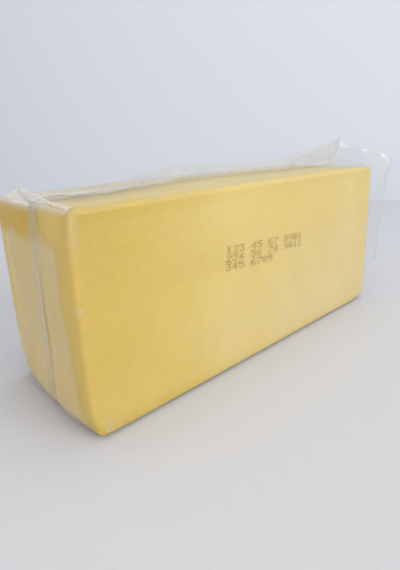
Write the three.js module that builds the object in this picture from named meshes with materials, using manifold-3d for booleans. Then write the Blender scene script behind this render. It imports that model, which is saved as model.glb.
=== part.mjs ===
// A rectangular block of semi-hard cheese, vacuum-packed in a clear pouch of two film webs.
// The block stands on one of its long narrow sides. All sizes are in millimetres.
//
// +X runs along the block towards the pouch's mouth, where the loose tail of film is.
// +Y runs from the front of the pack to its back, and +Z is up.
// The origin is the middle of the pack's underside.

import * as THREE from 'three';
import { RoundedBoxGeometry } from 'three/addons/geometries/RoundedBoxGeometry.js';
import { mergeVertices } from 'three/addons/utils/BufferGeometryUtils.js';
import Module from 'manifold-3d';

const wasm = await Module();
wasm.setup();

// The cheese
const blockLength = 183;
const blockDepth = 65;
const blockHeight = 78;
const blockEdgeRadius = 2;
const edgeSteps = 4;

// The film, and the gaps that keep the separate solids apart
const filmThickness = 0.4;
const filmClearance = 0.3;
const webGap = 0.3;

// Top fin: the two webs' edges, standing up along the middle of the top
const finInset = 3;
const finStartHeight = 4;
const finHeight = 8;
const finRise = 50;
const finLevelEnd = 48;

// Tail: the loose film past the block's +X end, with an ear standing up at its top
const earHeight = 16;
const earReach = 12;
const tailLength = 52;
const tailEndRise = 4;
const tailSwing = 16;
const tailBaseGap = 3;
const tailBaseRise = 8;
const tailSteps = 16;

// Seam at the -X end, folded flat against the end towards the front
const foldWidth = 8;
const foldEndGap = 4;

// Seam under the pack, pushed towards the back so that the middle of the base is one web
const baseSeamOffset = 8;
const baseSeamHeight = 2;

// How far cutting shapes reach past what they cut
const sheetOverrun = 4;
const dividerReach = 60;

const filmOffset = filmClearance + filmThickness;
const packHeight = blockHeight + 2 * filmOffset;
const blockCentre = new THREE.Vector3(0, 0, packHeight / 2);
const halfPackLength = blockLength / 2 + filmOffset;
const tailEnd = halfPackLength + tailLength;

function toSolid(geometry) {
  const bare = geometry.clone();
  bare.deleteAttribute('normal');
  bare.deleteAttribute('uv');
  const merged = mergeVertices(bare, 1e-4);
  return new wasm.Manifold(new wasm.Mesh({
    numProp: 3,
    vertProperties: new Float32Array(merged.attributes.position.array),
    triVerts: new Uint32Array(merged.index.array),
  }));
}

function toGeometry(solid) {
  const mesh = solid.getMesh();
  const geometry = new THREE.BufferGeometry();
  geometry.setAttribute('position', new THREE.BufferAttribute(mesh.vertProperties, 3));
  geometry.setIndex(new THREE.BufferAttribute(mesh.triVerts, 1));
  geometry.computeVertexNormals();
  return geometry;
}

// The block's rounded box, grown outwards on every side.
function grownBlock(growth) {
  const geometry = new RoundedBoxGeometry(
    blockLength + 2 * growth,
    blockDepth + 2 * growth,
    blockHeight + 2 * growth,
    edgeSteps,
    blockEdgeRadius + growth,
  );
  return geometry.translate(blockCentre.x, blockCentre.y, blockCentre.z);
}

function boxBetween(low, high) {
  const size = new THREE.Vector3().subVectors(high, low);
  const centre = new THREE.Vector3().addVectors(low, high).multiplyScalar(0.5);
  const geometry = new THREE.BoxGeometry(size.x, size.y, size.z);
  return toSolid(geometry.translate(centre.x, centre.y, centre.z));
}

// Where a fin's middle surface lies in plan: straight over the block, then swinging forward.
function seamPoint(x) {
  const past = Math.max(0, x - halfPackLength) / tailLength;
  return new THREE.Vector2(x, -tailSwing * past * past);
}

function seamNormal(x) {
  const past = Math.max(0, x - halfPackLength) / tailLength;
  const slope = -2 * tailSwing * past / tailLength;
  return new THREE.Vector2(-slope, 1).normalize();
}

// A strip of film in plan that follows the seam, between two distances from it,
// drawn up through the whole height of the pack and its ear.
function seamSheet(nearOffset, farOffset) {
  const stations = [-halfPackLength];
  for (let step = 0; step <= tailSteps; step += 1) {
    stations.push(halfPackLength + ((tailLength + sheetOverrun) * step) / tailSteps);
  }
  const edgeAt = (offset) => stations.map(
    (x) => seamPoint(x).addScaledVector(seamNormal(x), offset),
  );
  const outline = new THREE.Shape([...edgeAt(nearOffset), ...edgeAt(farOffset).reverse()]);
  const height = packHeight + 2 * earHeight;
  return toSolid(new THREE.ExtrudeGeometry(outline, { depth: height, bevelEnabled: false }));
}

// The fin's outline seen from the front: along the top, over the ear and down the tail.
function finOutline() {
  const top = packHeight;
  const outline = new THREE.Shape();
  outline.moveTo(-halfPackLength + finInset, top - blockEdgeRadius);
  outline.lineTo(-halfPackLength + finInset, top + finStartHeight);
  outline.splineThru([
    new THREE.Vector2(-halfPackLength + finInset + finRise, top + finHeight),
    new THREE.Vector2(halfPackLength - finLevelEnd, top + finHeight),
    new THREE.Vector2(halfPackLength + earReach, top + earHeight),
    new THREE.Vector2(tailEnd, top + tailEndRise),
  ]);
  outline.lineTo(tailEnd, tailBaseGap + tailBaseRise);
  outline.lineTo(halfPackLength, tailBaseGap);
  outline.lineTo(halfPackLength - blockEdgeRadius, tailBaseGap + blockEdgeRadius);
  outline.lineTo(halfPackLength - blockEdgeRadius, top - blockEdgeRadius);
  outline.closePath();
  const geometry = new THREE.ExtrudeGeometry(outline, {
    depth: 2 * dividerReach,
    bevelEnabled: false,
    curveSegments: 24,
  });
  // The outline is drawn in X and Z, and its depth becomes Y.
  geometry.rotateX(Math.PI / 2);
  return toSolid(geometry.translate(0, dividerReach, 0));
}

// One web's share of the seam at the -X end: it leaves the end at the middle, turns
// forward and lies flat along the end. The back web lies outside the front web.
function endFold(side) {
  const layer = side < 0 ? 1 : 2;
  const skinX = -halfPackLength + filmThickness / 2;
  const outerX = -halfPackLength - layer * (webGap + filmThickness);
  const innerX = outerX + filmThickness;
  const outerY = side < 0 ? -webGap / 2 : webGap / 2 + filmThickness;
  const innerY = outerY - filmThickness;
  const outline = new THREE.Shape([
    new THREE.Vector2(skinX, outerY),
    new THREE.Vector2(outerX, outerY),
    new THREE.Vector2(outerX, -foldWidth),
    new THREE.Vector2(innerX, -foldWidth),
    new THREE.Vector2(innerX, innerY),
    new THREE.Vector2(skinX, innerY),
  ]);
  const height = packHeight - 2 * foldEndGap;
  const geometry = new THREE.ExtrudeGeometry(outline, { depth: height, bevelEnabled: false });
  return toSolid(geometry.translate(0, 0, foldEndGap));
}

// The space in front of the seam, where side -1 stops at the front web's edge and
// side +1 at the back web's: the front half, and the base as far back as its seam.
function frontSpace(side) {
  const reach = tailEnd + dividerReach;
  const corner = new THREE.Vector3(-reach, -reach, -reach);
  const middleY = side * (webGap + filmThickness) / 2;
  const seamY = baseSeamOffset + side * webGap / 2;
  const seamZ = baseSeamHeight + side * webGap / 2;
  const half = boxBetween(corner, new THREE.Vector3(reach, middleY, reach));
  const base = boxBetween(corner, new THREE.Vector3(reach, seamY, seamZ));
  return half.add(base);
}

const cavity = toSolid(grownBlock(filmClearance));
const pouchSkin = toSolid(grownBlock(filmOffset)).subtract(cavity);

// One of the pouch's two webs: side -1 is the front, +1 the back.
function filmWeb(side) {
  const near = side * webGap / 2;
  const far = side * (webGap / 2 + filmThickness);
  const sheet = seamSheet(Math.min(near, far), Math.max(near, far));
  const fin = sheet.intersect(finOutline()).subtract(cavity);
  const space = frontSpace(side);
  const skin = side < 0 ? pouchSkin.intersect(space) : pouchSkin.subtract(space);
  return toGeometry(skin.add(fin).add(endFold(side)));
}

const cheese = new THREE.Mesh(
  grownBlock(0),
  new THREE.MeshStandardMaterial({ color: 0xdcbd72, roughness: 0.55, metalness: 0 }),
);
cheese.name = 'cheese_block';

const filmMaterial = {
  color: 0xe6e8e8,
  roughness: 0.12,
  metalness: 0,
  transparent: true,
  opacity: 0.3,
};

const frontFilm = new THREE.Mesh(filmWeb(-1), new THREE.MeshStandardMaterial(filmMaterial));
frontFilm.name = 'front_film';

const backFilm = new THREE.Mesh(filmWeb(1), new THREE.MeshStandardMaterial(filmMaterial));
backFilm.name = 'back_film';

const pack = new THREE.Group();
pack.add(cheese, frontFilm, backFilm);

export default pack;
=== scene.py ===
"""A block of pale yellow cheese in a clear vacuum pouch, on a pale table.

The cheese, the pouch's two film webs and the printed code are mesh pieces that follow one
shared description of the pack's form, worked out from the CAD nodes' boxes. Lengths in the
helper functions are millimetres in the shared frame; meshes are made in metres.
"""

import math

import bpy
import numpy as np
from mathutils import Euler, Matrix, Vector


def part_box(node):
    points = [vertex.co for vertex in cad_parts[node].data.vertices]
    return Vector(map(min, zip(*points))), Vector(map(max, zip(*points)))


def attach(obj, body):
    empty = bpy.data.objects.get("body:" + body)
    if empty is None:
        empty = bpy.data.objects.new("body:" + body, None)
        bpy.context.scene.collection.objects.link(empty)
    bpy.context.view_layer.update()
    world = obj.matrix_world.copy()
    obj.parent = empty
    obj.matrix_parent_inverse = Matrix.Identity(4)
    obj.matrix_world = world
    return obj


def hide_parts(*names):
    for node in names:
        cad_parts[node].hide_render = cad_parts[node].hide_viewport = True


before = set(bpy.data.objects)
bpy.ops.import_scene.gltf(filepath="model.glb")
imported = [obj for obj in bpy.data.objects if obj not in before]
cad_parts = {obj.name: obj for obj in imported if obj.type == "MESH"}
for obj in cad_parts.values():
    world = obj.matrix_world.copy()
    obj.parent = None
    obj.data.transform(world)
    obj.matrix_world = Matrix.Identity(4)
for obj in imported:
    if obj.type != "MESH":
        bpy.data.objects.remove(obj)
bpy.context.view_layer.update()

MM = 0.001


# ---------------------------------------------------------------- measures of the pack, in mm
def box_mm(node):
    low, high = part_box(node)
    return np.array(low) / MM, np.array(high) / MM


CHEESE_LOW, CHEESE_HIGH = box_mm("cheese_block")
HALF_LENGTH, HALF_DEPTH = CHEESE_HIGH[0], CHEESE_HIGH[1]
CHEESE_BOTTOM, CHEESE_TOP = CHEESE_LOW[2], CHEESE_HIGH[2]
CHEESE_HALF = np.array([HALF_LENGTH, HALF_DEPTH, (CHEESE_TOP - CHEESE_BOTTOM) / 2])
CHEESE_CENTRE = np.array([0.0, 0.0, (CHEESE_TOP + CHEESE_BOTTOM) / 2])
CHEESE_RADIUS = 2.0
FILM_OFFSET = 0.3
FILM_THICKNESS = 0.1
WEB_GAP = 0.15

SKIN_X = HALF_LENGTH + FILM_OFFSET
SKIN_Y = HALF_DEPTH + FILM_OFFSET
SKIN_BOTTOM = CHEESE_BOTTOM - FILM_OFFSET
SKIN_TOP = CHEESE_TOP + FILM_OFFSET
EDGE_RADIUS = CHEESE_RADIUS + FILM_OFFSET
CORNER_RADIUS = EDGE_RADIUS + 0.7
TAIL_END = box_mm("front_film")[1][0] - 1.0
TAIL_SWING = 20.0
END_FOLD_WIDTH = 5.2
PEAK_X = SKIN_X + 12.9  # where the tall ear over the tail is highest
PINCH_HEIGHT = 48.2  # where the film is pinched at the front's -X edge


# ---------------------------------------------------------------- smooth noise, always the same
HASH_STEPS = (127.1, 311.7, 74.7)
HASH_SEED_STEP = 19.19
HASH_GAIN = 43758.5453


def smooth(t):
    t = np.clip(t, 0.0, 1.0)
    return t * t * (3 - 2 * t)


def bump(x, centre, width):
    return np.exp(-(((x - centre) / width) ** 2))


def cell_value(cells, seed):
    """A fixed pseudo-random value from -1 to 1 for each whole-numbered cell."""
    value = np.zeros(cells.shape[:-1])
    for axis, step in enumerate(HASH_STEPS[:cells.shape[-1]]):
        value = value + cells[..., axis] * step
    value = np.sin(value + seed * HASH_SEED_STEP) * HASH_GAIN
    return (value - np.floor(value)) * 2 - 1


def noise(points, scale, seed):
    """Value noise from -1 to 1 at points[..., dimensions], smooth over a distance of scale."""
    p = np.asarray(points, float) / scale
    base = np.floor(p)
    part = smooth(p - base)
    total = np.zeros(p.shape[:-1])
    for corner in np.ndindex(*(2,) * p.shape[-1]):
        weight = np.ones(p.shape[:-1])
        for axis, up in enumerate(corner):
            weight = weight * (part[..., axis] if up else 1 - part[..., axis])
        total = total + weight * cell_value(base + np.array(corner), seed)
    return total


def stack(*parts):
    return np.stack(np.broadcast_arrays(*parts), axis=-1)


# ---------------------------------------------------------------- the form shared by all pieces
def form(x, y, z):
    """How far the block's surface stands off its plain box here, outwards, in mm."""
    p = stack(x, y, z)
    broad = noise(p, 46.0, 1) * 0.30 + noise(p, 19.0, 2) * 0.12
    swell = 0.35 * (1 - (np.abs(x) / HALF_LENGTH) ** 2)
    front_dent = -0.55 * bump(x, -34.0, 13.0) * bump(z, 47.0, 5.0) * smooth(-y / 10 - 2)
    return broad + swell + front_dent


def settle(points):
    """The block's departures from a true box: worn lower corners and two fuller ends."""
    corner_wear = ((-1, 0.35), (1, 1.2))
    wear_reach = 7.0
    bulge_centre, bulge_half_height = 42.0, 39.0
    p = np.array(points, float)
    x, y, z = p.T.copy()
    for side_x, depth in corner_wear:
        worn = bump(x, side_x * HALF_LENGTH, wear_reach) * bump(z, CHEESE_BOTTOM, wear_reach)
        p[:, 0] -= side_x * depth * worn
        p[:, 2] += depth * worn
    bulge = 1 - np.clip(np.abs(z - bulge_centre) / bulge_half_height, 0, 1) ** 6
    front = 1 - smooth((y + 32) / 50)
    foot = (1 - smooth((z - 2) / 28)) * np.clip(1 - (y / HALF_DEPTH) ** 2, 0, 1)
    p[:, 0] -= (bulge * (1.3 + 1.0 * front) + 1.9 * foot) * smooth((-x - 45) / 45)
    p[:, 0] += 1.1 * bulge * front * smooth((x - 50) / 40)
    return p


# ---------------------------------------------------------------- mesh helpers
def new_object(name, vertices_mm, faces, smooth_shading=True):
    mesh = bpy.data.meshes.new(name)
    mesh.from_pydata((np.asarray(vertices_mm, float) * MM).tolist(), [], faces)
    mesh.validate()
    if smooth_shading:
        mesh.polygons.foreach_set("use_smooth", [True] * len(mesh.polygons))
    mesh.update()
    piece = bpy.data.objects.new(name, mesh)
    bpy.context.scene.collection.objects.link(piece)
    return piece


def set_attribute(piece, name, values):
    """Give the piece one number for each vertex, which its material reads by name."""
    attribute = piece.data.attributes.new(name, "FLOAT", "POINT")
    attribute.data.foreach_set("value", values.astype(np.float32))


def loop_quads(rows, columns):
    """Faces between closed rows of vertices that are numbered row by row."""
    faces = []
    for row in range(rows - 1):
        first = row * columns
        for c in range(columns):
            d = (c + 1) % columns
            faces.append((first + c, first + d, first + columns + d, first + columns + c))
    return np.array(faces)


# ---------------------------------------------------------------- the cheese
CHEESE_STEP = 2.0
CHEESE_ROUND_STEPS = 5


def spaced(half):
    """Grid positions from -half to half, closer together where the edge is round."""
    flat = half - CHEESE_RADIUS
    count = max(2, round(2 * flat / CHEESE_STEP))
    middle = np.linspace(-flat, flat, count + 1)
    angles = np.linspace(0, math.pi / 4, CHEESE_ROUND_STEPS + 1)[1:]
    outer = flat + CHEESE_RADIUS * np.tan(angles)
    return np.concatenate([-outer[::-1], middle, outer])


def box_grid(grids):
    """Vertices and faces of a closed box, split along each axis at that axis's positions."""
    index = {}
    vertices = []
    faces = []

    def vertex(key):
        if key not in index:
            index[key] = len(vertices)
            vertices.append([grids[axis][key[axis]] for axis in range(3)])
        return index[key]

    for axis in range(3):
        u, v = (axis + 1) % 3, (axis + 2) % 3
        for side in (0, len(grids[axis]) - 1):
            for i, j in np.ndindex(len(grids[u]) - 1, len(grids[v]) - 1):
                corners = []
                for di, dj in ((0, 0), (1, 0), (1, 1), (0, 1)):
                    key = [0, 0, 0]
                    key[axis], key[u], key[v] = side, i + di, j + dj
                    corners.append(vertex(tuple(key)))
                faces.append(corners if side else corners[::-1])
    return np.array(vertices), faces


def cheese_painted_shade(points):
    """How deep the cheese's colour is here, from 0 to 1.

    It is mostly painted shade. It is deepest on the -X end, which faces away from the key light.
    There it has a painted orange band by its front edge, for light that shines through the rounded
    edge, and a painted shadow under the small ear along its top. It is less on the front's -X part.
    Along the long edges it is partly the cheese's own deeper rind and partly painted shade that
    dims the light on the rounded edges.
    """
    x, y, z = points.T
    from_end = x + HALF_LENGTH
    end = 1 - smooth(from_end / 2.5)
    front = 1 - smooth((y + HALF_DEPTH) / 4)
    height = (z - CHEESE_BOTTOM) / (CHEESE_TOP - CHEESE_BOTTOM)
    # Painted shade over the front's -X part.
    on_front = 0.60 * (1 - smooth(from_end / 80)) * (0.78 + 0.22 * height) * front * (1 - end)
    # A painted orange band by the end's front edge, for light shining through the rounded edge.
    by_front_edge = smooth((-y - 22) / 6)
    # A painted shadow under the small ear, along the top of the end.
    ear_shadow = smooth((z - 64) / 4) * smooth((y + 20) / 20)
    # Painted shade over the whole -X end, which faces away from the key light.
    on_end = (0.55 + 0.10 * by_front_edge + 0.45 * ear_shadow) * end
    from_long_edge = np.max((CHEESE_HALF - np.abs(points - CHEESE_CENTRE))[:, 1:], axis=1)
    # Partly the cheese's own rind, partly painted shade that dims the rounded edges' light.
    on_long_edge = 0.15 * (1 - smooth((from_long_edge - 3) / 3))
    return np.minimum(on_front + on_end + on_long_edge, 1.0)


def make_cheese():
    """The block: a finely split box, rounded at its edges and then given its uneven form."""
    box, faces = box_grid([spaced(half) for half in CHEESE_HALF])
    flat_half = CHEESE_HALF - CHEESE_RADIUS
    inner = np.clip(box, -flat_half, flat_half)
    out = box - inner
    out /= np.linalg.norm(out, axis=1, keepdims=True)
    points = inner + out * CHEESE_RADIUS + CHEESE_CENTRE
    grain = noise(points, 3.2, 5) * 0.035 + noise(points, 1.3, 6) * 0.015
    off_table = smooth((points[:, 2] - CHEESE_BOTTOM) / 6.0)
    lift = (form(*points.T) + grain) * (0.15 + 0.85 * off_table)
    piece = new_object("cheese", settle(points + out * lift[:, None]), faces)
    # The deeper colour, mostly painted shade, goes to the material as a vertex attribute.
    set_attribute(piece, "painted_shade", cheese_painted_shade(points))
    return piece


# ---------------------------------------------------------------- the outline round the front
LONG_STEPS = 190
SHORT_STEPS = 88
ARC_STEPS = 7
ROUND_STEPS = 5
WALL_STEPS = 26
FIN_STEPS = 22
BEND_STEPS = 24


def outline():
    """Points and outward normals round the pack, seen from the front.

    It starts in the middle of the lower corner at the -X end and runs along the bottom,
    up the +X end, back along the top and down the -X end.
    """
    r = CORNER_RADIUS
    corners = [
        (-SKIN_X + r, SKIN_BOTTOM + r, 225),
        (SKIN_X - r, SKIN_BOTTOM + r, 315),
        (SKIN_X - r, SKIN_TOP - r, 45),
        (-SKIN_X + r, SKIN_TOP - r, 135),
    ]
    points, normals = [], []
    for side, steps in enumerate((LONG_STEPS, SHORT_STEPS, LONG_STEPS, SHORT_STEPS)):
        x0, z0, a0 = corners[side]
        x1, z1, _ = corners[(side + 1) % 4]
        for k in range(steps):
            if k < ARC_STEPS:
                degrees, cx, cz = a0 + 45 * k / ARC_STEPS, x0, z0
            elif k > steps - ARC_STEPS:
                degrees, cx, cz = a0 + 90 - 45 * (steps - k) / ARC_STEPS, x1, z1
            else:
                t = (k - ARC_STEPS) / (steps - 2 * ARC_STEPS)
                degrees, cx, cz = a0 + 45, x0 + (x1 - x0) * t, z0 + (z1 - z0) * t
            angle = math.radians(degrees)
            n = (math.cos(angle), math.sin(angle))
            points.append((cx + r * n[0], cz + r * n[1]))
            normals.append(n)
    return np.array(points), np.array(normals)


LOOP, NORMAL = outline()
COUNT = len(LOOP)
BOTTOM_LEFT, BOTTOM_RIGHT, TOP_RIGHT, TOP_LEFT = range(4)
CORNER_AT = (0, LONG_STEPS, LONG_STEPS + SHORT_STEPS, 2 * LONG_STEPS + SHORT_STEPS)

STEP_LENGTHS = np.linalg.norm(np.roll(LOOP, -1, axis=0) - LOOP, axis=1)
TRAVEL = np.concatenate([[0], np.cumsum(STEP_LENGTHS)[:-1]])
ROUND_TRIP = STEP_LENGTHS.sum()


def from_corner(corner):
    """Distance along the outline from a corner, signed, at each column."""
    d = TRAVEL - TRAVEL[CORNER_AT[corner]]
    return (d + ROUND_TRIP / 2) % ROUND_TRIP - ROUND_TRIP / 2


def outline_at(distance):
    """Position and outward normal on the outline at a distance travelled round it."""
    travel = np.concatenate([TRAVEL, [ROUND_TRIP]])
    d = np.mod(distance, ROUND_TRIP)
    pick = []
    for table in (LOOP, NORMAL):
        closed = np.concatenate([table, table[:1]])
        pick.append(np.stack([np.interp(d, travel, closed[:, i]) for i in (0, 1)], axis=1))
    point, normal = pick
    return point, normal / np.linalg.norm(normal, axis=1, keepdims=True)


def sides_at(moved):
    """How far each column belongs to the bottom, the +X end, the top and the -X end."""
    blend = 4.0
    limits = [TRAVEL[c] for c in CORNER_AT] + [ROUND_TRIP]
    shares = []
    for side in range(4):
        inside = np.minimum(moved - limits[side], limits[side + 1] - moved)
        if side == 0:
            inside = np.maximum(inside, moved - ROUND_TRIP)
        if side == 3:
            inside = np.maximum(inside, -moved)
        shares.append(smooth(0.5 + inside / (2 * blend)))
    return shares


# ---------------------------------------------------------------- ears, seam and free edge
# Each corner's ear: which way it stands (x, z), how far it reaches, and how much film it takes.
EARS = {
    BOTTOM_LEFT: ((-0.90, 0.10), 0.6, 1.5),
    BOTTOM_RIGHT: ((1.0, 0.06), 7.0, 8.5),
    TOP_RIGHT: ((0.62, 0.78), 19.5, 21.0),
    TOP_LEFT: ((-0.56, 0.83), 7.4, 8.6),
}
LONG_GATHER = 80.0  # how far along a long side the film is drawn towards an ear
SHORT_GATHER = 37.0
EAR_GAP = 0.3
EAR_FIN = 0.8  # the joined strip that an ear keeps past its fold
BASE_FIN = 5.5  # the width of the strip folded flat under the base

# The seam's root in Y: the corner it is counted from, how far on along the outline, and Y.
ROOT_LINE = [
    (BOTTOM_LEFT, 0, 1.0), (BOTTOM_LEFT, 16, 8.0), (BOTTOM_LEFT, 166, 8.0),
    (BOTTOM_RIGHT, 0, 3.0), (BOTTOM_RIGHT, 12, -0.5), (BOTTOM_RIGHT, 60, -2.0),
    (TOP_RIGHT, 0, -1.5), (TOP_RIGHT, 7, -7.0), (TOP_RIGHT, 30, -5.2), (TOP_RIGHT, 58, -6.0),
    (TOP_RIGHT, 75, 0.3), (TOP_RIGHT, 93, 3.4), (TOP_RIGHT, 115, 0.3), (TOP_RIGHT, 137, -6.8),
    (TOP_RIGHT, 152, -9.1), (TOP_RIGHT, 163, -9.0), (TOP_RIGHT, 174, -5.0),
    (TOP_LEFT, 0, -1.6), (TOP_LEFT, 12, -3.0), (TOP_LEFT, 32, -2.0), (TOP_LEFT, 53, -0.8),
    (TOP_LEFT, 62, -2.4), (TOP_LEFT, 74, -1.6),
]
# The fin's free edge over the top: X, and how far it stands above the block.
TOP_EDGE = [
    (-86, 3.2), (-63, 4.0), (-52, 6.2), (-37, 7.2), (-22, 7.4), (-4, 6.7), (40, 7.0),
    (69, 11.0), (105, 16.2),
]
# The tail's free edge from the pack's base round its end: X from an end of the pack or of
# its tail, and Z.
TAIL_EDGE = [
    (SKIN_X, 9.0, 1.0), (SKIN_X, 20.0, 4.2),
    (TAIL_END, -9.0, 9.0), (TAIL_END, -6.0, 14.0), (TAIL_END, -5.5, 32.0),
    (TAIL_END, -4.0, 50.0), (TAIL_END, -4.5, 66.0), (TAIL_END, -0.5, 76.0),
    (TAIL_END, 0.0, 80.5), (TAIL_END, -4.0, 83.8), (TAIL_END, -13.0, 86.0),
    (TAIL_END, -25.0, 90.6), (TAIL_END, -33.0, 92.8),
]


def gather(share):
    """How the film is drawn into the ears, for a share of the way to the middle.

    Returns each column's shifted distance along the outline, its offset into an ear, and how
    far up that ear it lies, from 0 at the foot to 1 at the fold.
    """
    moved = TRAVEL.copy()
    offset = np.zeros((COUNT, 2))
    height = np.zeros(COUNT)
    for corner, (direction, reach, width) in EARS.items():
        d = np.array(direction) / np.linalg.norm(direction)
        apart = from_corner(corner)
        away = np.abs(apart)
        on_long = (apart > 0) == (corner in (BOTTOM_LEFT, TOP_RIGHT))
        extent = np.where(on_long, LONG_GATHER, SHORT_GATHER)
        taken = width * share
        gap = EAR_GAP * min(1.0, share * 4)
        up = np.clip(1 - away / taken, 0, 1)
        beyond = gap + (away - taken) * (extent - gap) / (extent - taken)
        place = np.where(away < taken, gap * away / taken, beyond)
        moved += np.where(away < extent, (place - away) * np.sign(apart), 0.0)
        offset += (reach * share * up)[:, None] * d
        height = np.maximum(height, up)
    return moved, offset, height


def eased(line, passes):
    """Values along a line, smoothed with their neighbours; its two ends stay."""
    line = line.copy()
    for _ in range(passes):
        line[1:-1] = (line[:-2] + 2 * line[1:-1] + line[2:]) / 4
    return line


def root_y():
    """Where the seam's root lies in Y at each column, in mm from the middle."""
    places = [TRAVEL[CORNER_AT[corner]] + d for corner, d, _ in ROOT_LINE]
    line = np.interp(TRAVEL, places, [y for _, _, y in ROOT_LINE], period=ROUND_TRIP)
    passes = 12
    line = eased(np.pad(line, passes, mode="wrap"), passes)[passes:-passes]
    return line + 0.35 * noise(stack(TRAVEL), 8.0, 21)


def top_edge(x):
    """How high the fin's free edge over the top is at x, with small waves."""
    x = np.asarray(x, float)
    shifts = (-6, -3, 0, 3, 6)
    edge_x, rise = zip(*TOP_EDGE)
    level = SKIN_TOP + sum(np.interp(x + d, edge_x, rise) for d in shifts) / len(shifts)
    return level + 0.25 * noise(stack(x), 9.0, 31) + 0.15 * noise(stack(x), 4.0, 32)


def tail_edge(count):
    """The tail's free edge in X and Z, from the pack's base round its end up to the ear."""
    path = np.array([(anchor + dx, z) for anchor, dx, z in TAIL_EDGE]
                    + [(PEAK_X, float(top_edge(PEAK_X)))])
    lengths = np.concatenate([[0], np.cumsum(np.linalg.norm(np.diff(path, axis=0), axis=1))])
    t = np.linspace(0, lengths[-1], count)
    return eased(np.stack([np.interp(t, lengths, path[:, i]) for i in (0, 1)], axis=1), 5)


def free_edge(roots, base, height):
    """The seam's free edge at each column, in X and Z, before any of it is folded flat."""
    x, z = base.T
    zero = np.zeros(COUNT)
    low_ears = [np.abs(from_corner(corner)) for corner in (BOTTOM_LEFT, BOTTOM_RIGHT)]
    from_low_ear = np.minimum(*low_ears)
    strip = END_FOLD_WIDTH + 2.2 * smooth((z - 40) / 25) + 0.6 * noise(stack(z), 14.0, 33)
    stops = (*CORNER_AT, COUNT)
    bottom, right, top, left = (slice(stops[i], stops[i + 1]) for i in range(4))
    reaches = [
        (bottom, stack(zero, -BASE_FIN * smooth(from_low_ear / 14))),
        (left, stack(-strip * smooth(from_low_ear / 7), zero)),
        (top, stack(zero, top_edge(x) - roots[:, 1])),
    ]
    tips = np.zeros((COUNT, 2))
    for corner, (direction, _, _) in EARS.items():
        close = np.abs(from_corner(corner)) < 30
        tips[close] = np.array(direction) / np.linalg.norm(direction) * EAR_FIN
    stand = (1 - height)[:, None]
    edge = np.zeros((COUNT, 2))
    for part, reach in reaches:
        edge[part] = (roots + (stand * reach + (1 - stand) * tips))[part]
    # Over the big ear the fin's edge keeps its own line up to the peak.
    past_corner = from_corner(TOP_RIGHT)
    ear = (past_corner >= 0) & (past_corner < 40)
    ear_x = x + (PEAK_X - x) * height
    edge[ear] = stack(ear_x, top_edge(ear_x))[ear]
    edge[right.start:right.stop + 1] = tail_edge(right.stop + 1 - right.start)
    return edge


# ---------------------------------------------------------------- haze in the film, 0 is clear
def face_cloud_and_sheen(x, z):
    """Haze over the front and back faces, more downwards, and growing towards the pouch's mouth:
    partly looser film there and partly a painted sheen for the film's reflection, which grows as
    the faces are seen more aslant towards +X.
    """
    return 0.01 + 0.10 * smooth((x + 70) / 170) * (1 - 0.5 * smooth((z - 42) / 26))


def upper_edge_haze_and_highlight(z):
    """Haze on the upright edges of the -X end, more at the top: partly film standing off the edge
    and partly a painted highlight along it.
    """
    return 0.02 + 0.09 * smooth((z - 58) / 14)


def end_haze(deep, y, z):
    """Haze on the -X end: a pale line along the upright edge, partly film standing off the edge and
    partly a painted highlight; a painted highlight on the pinched film; clear film beside the line
    and above a border near the top, with the clear band above partly clinging film and partly
    painted shade under the small ear; a clearer line in front of the folded strip as its painted
    shadow; and cloudier film where it stands off the middle of the end."""
    # A pale line along the upright edge: partly film standing off the edge, partly a painted
    # highlight.
    line = 0.05 * bump(deep, 0.6, 1.2)
    # A pale spot: a painted highlight on the pinched film.
    pinch_highlight = 0.22 * bump(deep, 2.0, 1.0) * bump(z, PINCH_HEIGHT + 0.4, 1.2) * (y < 0)
    # Above this border the film is clear: partly film that clings there, partly painted shade under
    # the small ear.
    border = 66.0 + 2.0 * noise(stack(y), 7.0, 51)
    low = 1 - smooth((z - border) / 3.5)
    clear_width = 4.0 + 3.2 * smooth(z / 60) + 1.0 * noise(stack(z), 12.0, 52)
    cloudy = 0.17 * smooth((deep - clear_width) / 3.5) * low
    # A clearer, darker line in front of the folded strip: its painted shadow.
    cloudy = cloudy * (1 - 0.9 * bump(y, -END_FOLD_WIDTH - 1.6, 1.2))
    return 0.02 + line * (0.4 + 0.6 * low) + pinch_highlight + cloudy


def top_haze(side, v, x, y, seed):
    """Haze on the top, growing towards the fin; the back web is the cloudier one."""
    streak = 0.5 + 0.5 * noise(stack(TRAVEL * 0.25, y), 3.0, seed + 8)
    haze = 0.01 + 0.20 * smooth((v - 0.65) / 0.35) + 0.10 * streak * smooth((v - 0.5) / 0.4)
    haze = haze + (side > 0) * (0.24 + 0.14 * smooth((20 - x) / 60)) * smooth(v * 3)
    return haze + 0.13 * smooth((-50 - x) / 25) * smooth((v - 0.2) / 0.4)


def ear_haze(height, x, z):
    """Haze in the small ear, and on the block's top edge under it."""
    in_ear = smooth(height * 8) * 0.25 + smooth((height - 0.8) * 5) * 0.12
    in_ear = in_ear * (np.abs(from_corner(TOP_LEFT)) < 20)
    on_rim = 0.56 * bump(z, SKIN_TOP - 0.4, 1.3) * bump(x, -SKIN_X + 0.5, 2.5)
    return in_ear + on_rim * (1 - smooth(height * 4)) + height * 0.05


def tail_haze(x, z):
    """Haze in the hanging tail, with two painted highlights near its upper corner, as pale spots of
    haze.
    """
    cloud = 0.05 + 0.05 * noise(stack(x * 1.4, z * 0.35), 9.0, 53)
    # Painted highlights: pale spots on the tail's slope and in its upper corner.
    slope_highlight = 0.20 * bump(x, TAIL_END - 22.2, 6.0) * bump(z, SKIN_TOP + 9.6, 1.6)
    corner_highlight = 0.22 * bump(x, TAIL_END - 3.2, 6.0) * bump(z, SKIN_TOP, 6.0)
    return cloud + slope_highlight + corner_highlight


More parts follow.
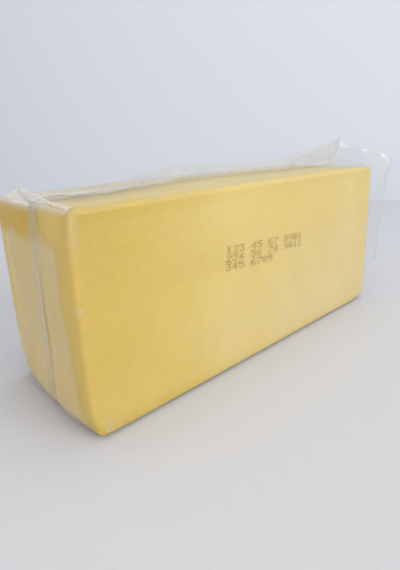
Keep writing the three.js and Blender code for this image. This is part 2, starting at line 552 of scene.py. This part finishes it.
# ---------------------------------------------------------------- one film web
def fan(along, deep, seed):
    """Wrinkles that spread from a corner of the block: along the edge, and deep into the side."""
    angle = np.arctan2(np.abs(along), np.maximum(deep, 0.01))
    reach = np.hypot(along, deep)
    pleats = noise(stack(angle * 10, reach / 30), 1.0, seed)
    fine = noise(stack(angle * 26, reach / 18), 1.0, seed + 1)
    size = smooth((reach - 2) / 7) * (1 - smooth((reach - 12) / 26))
    return (np.abs(pleats) * 0.9 + np.abs(fine) * 0.35) * size


def fin_bend(turn, reach, travel):
    """Outward and sideways distance along a fin of some length that turns down flat.

    reach is the length after which the turn is complete.
    """
    out = np.zeros_like(travel)
    side = np.zeros_like(travel)
    for i in range(BEND_STEPS):
        s = travel * (i + 0.5) / BEND_STEPS
        angle = turn * (math.pi / 2) * smooth(s / reach)
        out += np.cos(angle) * travel / BEND_STEPS
        side += np.sin(angle) * travel / BEND_STEPS
    return out, side


def rounding_rows(side):
    """Rows of points, haze and looseness over the web's rounded rim, from its face outwards."""
    x, z = LOOP.T
    low_side, _, top_side, left_side = sides_at(TRAVEL)
    face_haze = face_cloud_and_sheen(x, z)
    # Pale lines on the rounded rims, as haze: along the top edge a painted highlight; on the -X
    # end's upright edges partly film standing off the edge and partly a painted highlight, with a
    # painted highlight on the pinched film.
    top_edge_highlight = top_side * (0.10 - 0.07 * smooth((x + 10) / 80))
    pinch_highlight = 0.18 * bump(z, PINCH_HEIGHT, 0.9) * (side < 0)
    on_left = left_side * (upper_edge_haze_and_highlight(z) + pinch_highlight)
    rows = []
    for i in range(ROUND_STEPS + 1):
        turned = i / ROUND_STEPS
        angle = math.pi / 2 * turned
        flat_x, flat_z = (LOOP - NORMAL * EDGE_RADIUS * (1 - math.sin(angle))).T
        y = side * (SKIN_Y - EDGE_RADIUS * (1 - math.cos(angle)))
        lift = form(flat_x, y, flat_z) * (1 - 0.85 * low_side * smooth(turned))
        lift = lift + 0.15 * bump(i, ROUND_STEPS / 2, 2.0) * (1 - low_side)
        out = stack(
            NORMAL[:, 0] * math.sin(angle), side * math.cos(angle), NORMAL[:, 1] * math.sin(angle)
        )
        edge_haze_and_highlight = (top_edge_highlight * bump(i, 3, 1.5) + on_left) * (1 - turned ** 6)
        haze = face_haze * (1 - 0.5 * turned) + 0.02 * turned + edge_haze_and_highlight
        rows.append((stack(flat_x, y, flat_z) + out * lift[:, None], haze, np.zeros(COUNT)))
    return rows


def wall_rows(side, middle, seed):
    """Rows of points, haze and looseness from the rim in to the seam's root.

    Also returns the last row's places on the outline and its heights up the ears.
    """
    start_y = side * (SKIN_Y - EDGE_RADIUS)
    end_y = middle + side * WEB_GAP / 2
    rows = []
    for i in range(1, WALL_STEPS + 1):
        v = i / WALL_STEPS
        moved, ear, height = gather(v)
        base, normal = outline_at(moved)
        x, z = base.T
        low_side, right_side, top_side, left_side = sides_at(moved)
        y = start_y + (end_y - start_y) * v
        deep = np.abs(y - side * SKIN_Y)

        wrinkle = np.zeros(COUNT)
        for corner in range(4):
            apart = np.abs(moved - TRAVEL[CORNER_AT[corner]])
            along = np.minimum(apart, ROUND_TRIP - apart)
            wrinkle = wrinkle + fan(along, deep, seed + 10 * corner)
        pleat = noise(stack(TRAVEL, y * 0.35), 7.0, seed + 3) * 0.35 * smooth((v - 0.45) / 0.5)
        folds_end = 0.3 * noise(stack(y, z * 0.10), 4.6, seed + 5) * left_side * smooth(v * 5)
        bulge_end = (0.15 + 0.9 * math.sin(math.pi * v)) * left_side
        bulge_right = 7.0 * smooth(v / 0.9) ** 1.6 * right_side
        bulge_top = 0.9 * v ** 3 * top_side
        root_lift = 0.5 * smooth((v - 0.86) / 0.14) * (top_side + 0.5 * right_side)
        free = wrinkle * (0.35 + 0.5 * v) + pleat * top_side + folds_end
        free = free + bulge_end + bulge_right + bulge_top + root_lift
        free = np.maximum(free, 0.02) * (1 - low_side) * smooth(v * 4) * (1 - height)

        lift = form(x, y, z) * (1 - 0.85 * low_side)
        flat_x, flat_z = (base + normal * (lift + free)[:, None] + ear).T
        haze = top_side * top_haze(side, v, x, y, seed) + left_side * end_haze(deep, y, z)
        haze = haze + right_side * (0.05 + 0.12 * v) + low_side * 0.02
        haze = haze + 0.06 * np.clip(wrinkle - 0.3, 0, 1) + ear_haze(height, x, z)
        loose = np.clip(right_side * smooth(v * 3) + smooth(height * 3), 0, 1)
        rows.append((stack(flat_x, y, flat_z), haze, loose))
    return rows, base, height


def fin_rows(side, middle, roots, base, height):
    """Rows of points, haze and looseness from the seam's root out to its free edge.

    The seam stands up along the top and in the tail, and lies flat on the -X end and
    under the base.
    """
    root_x, root_z = roots.T
    reach = free_edge(roots, base, height) - roots
    length = np.linalg.norm(reach, axis=1)
    heading_x, heading_z = (reach / np.maximum(length, 1e-6)[:, None]).T
    column = np.arange(COUNT)
    turn = np.where(column < CORNER_AT[BOTTOM_RIGHT], 1.0, 0.0)
    turn = np.where(column >= CORNER_AT[TOP_LEFT], -1.0, turn) * (1 - height)
    bend = np.where(turn > 0, 0.25, 0.8)
    along_top = (column >= CORNER_AT[TOP_RIGHT]) & (column < CORNER_AT[TOP_LEFT])
    along_top = along_top * smooth(np.abs(from_corner(TOP_LEFT)) / 20)
    layer = side * WEB_GAP / 2
    floor_clearance = 0.09 + 0.15 * (side > 0)
    rows = []
    for i in range(1, FIN_STEPS + 1):
        v = i / FIN_STEPS
        out, across = fin_bend(turn, bend, length * v)
        angle = turn * (math.pi / 2) * smooth(length * v / bend)
        x = root_x + heading_x * (out - np.sin(angle) * layer)
        z = root_z + heading_z * (out - np.sin(angle) * layer)
        past = np.clip((x - SKIN_X) / (TAIL_END - SKIN_X), 0, 1)
        swing = -TAIL_SWING * past ** 1.7
        crumple = noise(stack(x, z * 0.4), 15.0, 41) * 2.6 + noise(stack(x, z), 7.0, 42) * 1.0
        crumple = crumple + np.abs(noise(stack(x * 0.8, z), 4.0, 43)) * 0.7
        waver = noise(stack(TRAVEL, v * 6), 21.0, 44) * 1.4
        waver = waver + noise(stack(TRAVEL, v * 3), 7.0, 45) * 0.5 - 1.0
        y = middle + across + layer * np.cos(angle) + swing
        y = y + crumple * smooth(past * 3) + waver * v * along_top
        part = noise(stack(TRAVEL, v * 9), 6.0, 46 + (side > 0))
        y = y + side * np.abs(part) * 0.3 * (turn == 0) * v * (1 - v) * 4
        z = np.maximum(z, floor_clearance)
        haze = np.where(past > 0, tail_haze(x, z), 0.05 + 0.08 * along_top)
        rows.append((stack(x, y, z), haze, np.where(turn < 0, 0.3, 1.0)))
    return rows


def web_rows(side):
    """The web outside its face, row by row: points[row, column, 3], haze and looseness."""
    middle = root_y()
    seed = 100 if side < 0 else 200
    wall, base, height = wall_rows(side, middle, seed)
    roots = wall[-1][0][:, [0, 2]]
    rows = rounding_rows(side) + wall + fin_rows(side, middle, roots, base, height)
    return [np.array(values) for values in zip(*rows)]


def face_grid(rim):
    """A grid that fills the front face inside its rim, by blending the rim's four sides."""
    nx, nz = LONG_STEPS, SHORT_STEPS
    low = rim[0:nx + 1]
    right = rim[nx:nx + nz + 1]
    high = rim[nx + nz:2 * nx + nz + 1][::-1]
    left = np.concatenate([rim[2 * nx + nz:], rim[:1]])[::-1]
    u = np.linspace(0, 1, nx + 1)[:, None, None]
    v = np.linspace(0, 1, nz + 1)[None, :, None]
    grid = (1 - v) * low[:, None] + v * high[:, None]
    grid = grid + (1 - u) * left[None] + u * right[None]
    grid = grid - (1 - u) * (1 - v) * low[0] - u * (1 - v) * low[-1]
    return grid - (1 - u) * v * high[0] - u * v * high[-1]


def face_numbers(first):
    """The vertex numbers of the face's grid: its border is the rim, the rest start at first."""
    nx, nz = LONG_STEPS, SHORT_STEPS
    number = np.zeros((nx + 1, nz + 1), int)
    number[:, 0] = np.arange(nx + 1)
    number[nx, :] = nx + np.arange(nz + 1)
    number[:, nz] = (nx + nz + np.arange(nx + 1))[::-1]
    number[0, :] = np.concatenate([2 * nx + nz + np.arange(nz), [COUNT]])[::-1] % COUNT
    number[1:-1, 1:-1] = first + np.arange((nx - 1) * (nz - 1)).reshape(nx - 1, nz - 1)
    return number


def web_face(rim, side):
    """Points and haze over the web's front or back face, inside its rim."""
    seed = 300 if side < 0 else 400
    grid = face_grid(rim)
    x, z = grid[..., 0], grid[..., 2]
    ripple = 0.04 * noise(stack(x, z * 0.5), 11.0, seed)
    for corner_x in (-SKIN_X, SKIN_X):
        for corner_z in (SKIN_BOTTOM, SKIN_TOP):
            ripple = ripple + 0.08 * fan(x - corner_x, np.abs(z - corner_z), seed + 7)
    from_rim = np.minimum.reduce([x + SKIN_X, SKIN_X - x, z - SKIN_BOTTOM, SKIN_TOP - z])
    inside = smooth(from_rim / 9)
    grid[..., 1] = side * (SKIN_Y + form(x, side * SKIN_Y, z) + (ripple + 0.04) * inside)
    # The pale line at the -X upright edge is partly a painted highlight.
    haze = face_cloud_and_sheen(x, z) + upper_edge_haze_and_highlight(z) * bump(x, -SKIN_X + 1.0, 1.8) + 0.3 * ripple
    haze = haze + 0.055 * (1 - smooth(z / 60)) * inside * smooth((x + 70) / 50)
    # A pale spot at the lower -X corner: a painted highlight on the film there.
    haze = haze + 0.26 * bump(x, -SKIN_X + 2.0, 3.5) * bump(z, SKIN_BOTTOM + 3.0, 3.5)
    return grid[1:-1, 1:-1].reshape(-1, 3), haze[1:-1, 1:-1].reshape(-1)


def make_web(name, side):
    """One web of the pouch: side -1 is the front, +1 the back."""
    points, haze, loose = web_rows(side)
    face_points, face_haze = web_face(points[0], side)
    number = face_numbers(points.shape[0] * COUNT)
    corners = [number[:-1, :-1], number[:-1, 1:], number[1:, 1:], number[1:, :-1]]
    faces = np.concatenate([
        loop_quads(len(points), COUNT), np.stack(corners, axis=-1).reshape(-1, 4),
    ])
    if side < 0:
        faces = faces[:, ::-1]
    vertices = np.concatenate([points.reshape(-1, 3), face_points])
    piece = new_object(name, settle(vertices), faces.tolist())
    # The haze, with its painted highlights, sheen and shade, goes to the material.
    set_attribute(piece, "haze", np.concatenate([haze.reshape(-1), face_haze]))
    tight = np.zeros(len(face_points))
    set_attribute(piece, "loose", np.concatenate([loose.reshape(-1), tight]))
    skin = piece.modifiers.new("thickness", "SOLIDIFY")
    skin.thickness = FILM_THICKNESS * MM
    skin.offset = 0
    return piece


# ---------------------------------------------------------------- the printed code
DOT_X = 0.60
DOT_Z = 0.43
DOT_RADIUS = 0.25
DOT_SIDES = 8
INK_GAP = 0.12
INK_THICKNESS = 0.05
CHARACTER_PITCH = 3.74
LINE_PITCH = 3.6
CODE_TILT = math.radians(-3.0)
CODE_LEFT = -28.7
CODE_TOP = SKIN_TOP - 23.6
CODE_LINES = ("123 45 67 8901", "234 56 78 9012", "345 6789")
# Each figure's rows of five dots, from the top, as binary numbers.
FIGURE_COLUMNS = 5
FIGURES = {
    "0": (14, 17, 19, 21, 25, 17, 14),
    "1": (4, 12, 4, 4, 4, 4, 14),
    "2": (14, 17, 1, 2, 4, 8, 31),
    "3": (31, 2, 4, 2, 1, 17, 14),
    "4": (2, 6, 10, 18, 31, 2, 2),
    "5": (31, 16, 30, 1, 1, 17, 14),
    "6": (6, 8, 16, 30, 17, 17, 14),
    "7": (31, 1, 2, 4, 8, 8, 8),
    "8": (14, 17, 17, 14, 17, 17, 14),
    "9": (14, 17, 17, 15, 1, 2, 12),
}


def code_dots():
    """How far across and down the code each printed dot lies."""
    for line, words in enumerate(CODE_LINES):
        for place, figure in enumerate(words):
            for row, bits in enumerate(FIGURES.get(figure, ())):
                for column in range(FIGURE_COLUMNS):
                    if bits >> (FIGURE_COLUMNS - 1 - column) & 1:
                        yield (place * CHARACTER_PITCH + column * DOT_X,
                               line * LINE_PITCH + row * DOT_Z)


def ring(x, y, z, radius):
    """The corners of a round dot that faces the front."""
    angles = [2 * math.pi * k / DOT_SIDES for k in range(DOT_SIDES)]
    return [(x + radius * math.cos(a), y, z + radius * math.sin(a)) for a in angles]


def make_code():
    """Three lines of generic figures in small ink dots, on the front web's outside."""
    vertices, faces = [], []
    jitter = np.random.default_rng(11)
    for across, down in code_dots():
        wobble = jitter.normal(0, 0.05, 2)
        across, down = across + wobble[0], down + wobble[1]
        x = CODE_LEFT + across * math.cos(CODE_TILT) + down * math.sin(CODE_TILT)
        z = CODE_TOP + across * math.sin(CODE_TILT) - down * math.cos(CODE_TILT)
        radius = DOT_RADIUS * jitter.uniform(0.85, 1.1)
        skin = SKIN_Y + float(form(np.array(x), -SKIN_Y, np.array(z))) + INK_GAP
        start = len(vertices)
        vertices += ring(x, -skin, z, radius)
        vertices += ring(x, -skin - INK_THICKNESS, z, 0.8 * radius)
        inner = [start + k for k in range(DOT_SIDES)]
        outer = [start + DOT_SIDES + k for k in range(DOT_SIDES)]
        for k in range(DOT_SIDES):
            n = (k + 1) % DOT_SIDES
            faces.append((inner[k], inner[n], outer[n], outer[k]))
        faces += [outer, inner[::-1]]
    return new_object("printed_code", settle(vertices), faces, smooth_shading=False)


# ---------------------------------------------------------------- materials
class Nodes:
    """A short way to add and join nodes in one material."""

    def __init__(self, name):
        self.material = bpy.data.materials.new(name)
        self.material.use_nodes = True
        self.tree = self.material.node_tree
        self.tree.nodes.clear()

    def add(self, kind, inputs=None, **settings):
        """A new node with its settings, and the values of its unlinked inputs."""
        node = self.tree.nodes.new(kind)
        for key, value in settings.items():
            setattr(node, key, value)
        for socket, value in (inputs or {}).items():
            node.inputs[socket].default_value = value
        return node

    def join(self, source, target):
        self.tree.links.new(source, target)

    def attribute(self, name):
        return self.add("ShaderNodeAttribute", attribute_name=name).outputs["Fac"]

    def noise(self, scale, detail=3.0, roughness=0.55):
        """Noise that stays fixed to the piece."""
        where = self.add("ShaderNodeTexCoord")
        texture = self.add("ShaderNodeTexNoise", {
            "Scale": scale, "Detail": detail, "Roughness": roughness,
        })
        self.join(where.outputs["Object"], texture.inputs["Vector"])
        return texture.outputs["Fac"]

    def ramp(self, source, *stops):
        """Colours along the source's value, each stop a place and a colour."""
        node = self.add("ShaderNodeValToRGB")
        elements = node.color_ramp.elements
        while len(elements) < len(stops):
            elements.new(0.5)
        for element, (place, colour) in zip(elements, stops):
            element.position = place
            element.color = (*colour, 1.0)
        self.join(source, node.inputs["Fac"])
        return node.outputs["Color"]

    def spread(self, source, low, high, source_low=0.0, source_high=1.0):
        """The source's range, stretched over low to high."""
        node = self.add("ShaderNodeMapRange", {
            "From Min": source_low, "From Max": source_high, "To Min": low, "To Max": high,
        })
        self.join(source, node.inputs["Value"])
        return node.outputs["Result"]

    def product(self, first, second):
        node = self.add("ShaderNodeMath", operation="MULTIPLY")
        self.join(first, node.inputs[0])
        self.join(second, node.inputs[1])
        return node.outputs["Value"]

    def blend(self, share, first, second):
        """A shader that turns from the first into the second as share grows."""
        node = self.add("ShaderNodeMixShader")
        self.join(share, node.inputs["Fac"])
        self.join(first, node.inputs[1])
        self.join(second, node.inputs[2])
        return node.outputs["Shader"]

    def finish(self, shader):
        output = self.add("ShaderNodeOutputMaterial")
        self.join(shader, output.inputs["Surface"])
        return self.material


def cheese_material():
    """Pale yellow cheese, slightly see-through, made deeper and darker in colour by a vertex
    attribute: mostly painted shade, with some of the cheese's own rind colour along its long edges.
    """
    nodes = Nodes("cheese")
    fine = nodes.noise(420.0, 4.0, 0.6)
    pale = nodes.ramp(
        nodes.noise(26.0),
        (0.30, (0.540, 0.424, 0.142)),
        (0.52, (0.558, 0.446, 0.163)),
        (0.72, (0.574, 0.465, 0.186)),
    )
    specks = nodes.ramp(fine, (0.35, (0.94, 0.93, 0.90)), (0.60, (1.0, 1.0, 1.0)))
    # The deeper, darker colour mixed in: painted shade, and rind colour along the long edges.
    shaded_colour = nodes.add(
        "ShaderNodeMix", {"B": (0.405, 0.284, 0.030, 1.0)}, data_type="RGBA",
    )
    nodes.join(nodes.attribute("painted_shade"), shaded_colour.inputs["Factor"])
    nodes.join(pale, shaded_colour.inputs["A"])
    speckled = nodes.add(
        "ShaderNodeMix", {"Factor": 0.6}, data_type="RGBA", blend_type="MULTIPLY",
    )
    nodes.join(shaded_colour.outputs["Result"], speckled.inputs["A"])
    nodes.join(specks, speckled.inputs["B"])
    uneven = nodes.add("ShaderNodeBump", {"Strength": 0.12, "Distance": 0.0004})
    nodes.join(fine, uneven.inputs["Height"])
    shader = nodes.add("ShaderNodeBsdfPrincipled", {
        "Subsurface Weight": 0.4,
        "Subsurface Radius": (1.0, 0.5, 0.16),
        "Subsurface Scale": 0.003,
        "Specular IOR Level": 0.15,
    })
    nodes.join(speckled.outputs["Result"], shader.inputs["Base Color"])
    nodes.join(nodes.spread(fine, 0.42, 0.60), shader.inputs["Roughness"])
    nodes.join(uneven.outputs["Normal"], shader.inputs["Normal"])
    return nodes.finish(shader.outputs["BSDF"])


def film_material():
    """Clear film: it lets what is behind show, with a sheen at its outer side and a thin haze.

    The haze attribute sets how cloudy it is, and where it is cloudiest it is also whitest. In
    places it also carries painted highlights, a painted sheen and painted shade, as more or less
    haze.
    Film that hangs free, by the loose attribute, is shinier than film that clings.
    """
    nodes = Nodes("clear_film")
    dull = nodes.attribute("haze")
    patchy = nodes.spread(nodes.noise(60.0), 0.7, 1.3, 0.3, 0.7)
    clear = nodes.add("ShaderNodeBsdfTransparent", {"Color": (0.973, 0.976, 0.974, 1.0)})
    haze = nodes.add("ShaderNodeBsdfDiffuse")
    whites = nodes.ramp(dull, (0.22, (0.57, 0.565, 0.57)), (0.50, (0.71, 0.70, 0.70)))
    nodes.join(whites, haze.inputs["Color"])
    body = nodes.blend(
        nodes.product(dull, patchy), clear.outputs["BSDF"], haze.outputs["BSDF"],
    )
    sheen = nodes.add("ShaderNodeBsdfGlossy", {"Color": (0.95, 0.97, 0.98, 1.0)})
    nodes.join(nodes.spread(nodes.noise(140.0), 0.10, 0.24), sheen.inputs["Roughness"])
    mirror = nodes.add("ShaderNodeFresnel", {"IOR": 1.45})
    gloss = nodes.spread(nodes.attribute("loose"), 0.28, 0.48)
    coated = nodes.blend(
        nodes.product(mirror.outputs["Fac"], gloss), body, sheen.outputs["BSDF"],
    )
    facing = nodes.add("ShaderNodeNewGeometry")
    through = nodes.add("ShaderNodeBsdfTransparent")
    outer = nodes.blend(facing.outputs["Backfacing"], coated, through.outputs["BSDF"])
    return nodes.finish(outer)


def ink_material():
    nodes = Nodes("code_ink")
    tones = nodes.ramp(
        nodes.noise(900.0), (0.35, (0.24, 0.165, 0.060)), (0.65, (0.38, 0.275, 0.100)),
    )
    shader = nodes.add("ShaderNodeBsdfPrincipled", {"Roughness": 0.45})
    nodes.join(tones, shader.inputs["Base Color"])
    return nodes.finish(shader.outputs["BSDF"])


def plain_material(name, colour, roughness, gloss):
    nodes = Nodes(name)
    shader = nodes.add("ShaderNodeBsdfPrincipled", {
        "Base Color": (*colour, 1.0), "Roughness": roughness, "Specular IOR Level": gloss,
    })
    return nodes.finish(shader.outputs["BSDF"])


# ---------------------------------------------------------------- camera, floor and light
CAMERA_PLACE = (-143.8, -142.3, 94.8)
CAMERA_HEADING, CAMERA_DOWN, CAMERA_ROLL = 41.13, 15.93, -2.83  # degrees
CAMERA_LENS = 26.0
CAMERA_SENSOR = 36.0
CAMERA_SHIFT = (0.0165, -0.0387)

FLOOR_HALF = 3000
WALL_FOOT = ((-218, 1497), (596, -59))  # the wall's two ends on the floor, in X and Y
WALL_HEIGHT = 1200

# Each light's place and target, its size, its watts and its colour.
LIGHTS = {
    "key": ((620, -2290, 1070), (0, 0, 40), (1650, 1050), 43.0, (1.0, 0.975, 0.945)),
    "fill": ((-1150, -650, 260), (-90, 0, 30), (800, 400), 10.0, (1.0, 0.87, 0.72)),
    "top": ((160, -60, 1500), (60, -40, 0), (900, 900), 6.2, (1.0, 0.99, 0.97)),
}


def make_camera():
    """The camera looks at the pack from its front and -X end, a little above its top."""
    camera = bpy.data.cameras.new("camera")
    view = bpy.data.objects.new("camera", camera)
    bpy.context.scene.collection.objects.link(view)
    heading, down, roll = map(math.radians, (CAMERA_HEADING, CAMERA_DOWN, CAMERA_ROLL))
    turn = Euler((math.pi / 2 - down, 0.0, -heading), "XYZ").to_matrix()
    view.matrix_world = (turn @ Euler((0.0, 0.0, roll)).to_matrix()).to_4x4()
    view.location = Vector(CAMERA_PLACE) * MM
    camera.sensor_width = CAMERA_SENSOR
    camera.lens = CAMERA_LENS
    camera.shift_x, camera.shift_y = CAMERA_SHIFT
    camera.clip_start = 0.01
    camera.clip_end = 20.0
    bpy.context.scene.camera = view


def make_stage():
    """A wide table and, behind the pack, one wall."""
    corners = ((-1, -1), (1, -1), (1, 1), (-1, 1))
    table = [(FLOOR_HALF * x, FLOOR_HALF * y, 0) for x, y in corners]
    floor = new_object("floor", table, [(0, 1, 2, 3)], smooth_shading=False)
    floor.data.materials.append(plain_material("table", (0.495, 0.507, 0.542), 0.60, 0.15))
    near, far = WALL_FOOT
    upright = [(*near, 0), (*far, 0), (*far, WALL_HEIGHT), (*near, WALL_HEIGHT)]
    wall = new_object("wall", upright, [(3, 2, 1, 0)], smooth_shading=False)
    wall.data.materials.append(plain_material("wall", (0.55, 0.598, 0.670), 0.8, 0.2))


def add_area_light(name, place_mm, target_mm, size_mm, watts, colour):
    lamp = bpy.data.lights.new(name, "AREA")
    lamp.shape = "RECTANGLE"
    lamp.size, lamp.size_y = size_mm[0] * MM, size_mm[1] * MM
    lamp.energy = watts
    lamp.color = colour
    holder = bpy.data.objects.new(name, lamp)
    bpy.context.scene.collection.objects.link(holder)
    place, target = Vector(place_mm) * MM, Vector(target_mm) * MM
    holder.location = place
    holder.rotation_euler = (target - place).to_track_quat("-Z", "Y").to_euler()


def make_lights():
    """A pale, even surround and three large soft lights."""
    world = bpy.data.worlds.new("studio")
    bpy.context.scene.world = world
    world.use_nodes = True
    background = world.node_tree.nodes["Background"]
    background.inputs["Color"].default_value = (0.94, 0.94, 0.96, 1.0)
    background.inputs["Strength"].default_value = 0.80
    for name, settings in LIGHTS.items():
        add_area_light(name, *settings)


# ---------------------------------------------------------------- the scene
make_camera()
make_stage()
make_lights()
bpy.context.scene.view_settings.view_transform = "Standard"
bpy.context.scene.cycles.transparent_max_bounces = 32

cheese = make_cheese()
cheese.data.materials.append(cheese_material())
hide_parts("cheese_block")
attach(cheese, "root")

film = film_material()
for film_name, node, film_side in (("film_front", "front_film", -1), ("film_back", "back_film", 1)):
    web = make_web(film_name, film_side)
    web.data.materials.append(film)
    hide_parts(node)
    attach(web, "root")

code = make_code()
code.data.materials.append(ink_material())
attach(code, "root")

bpy.context.view_layer.update()
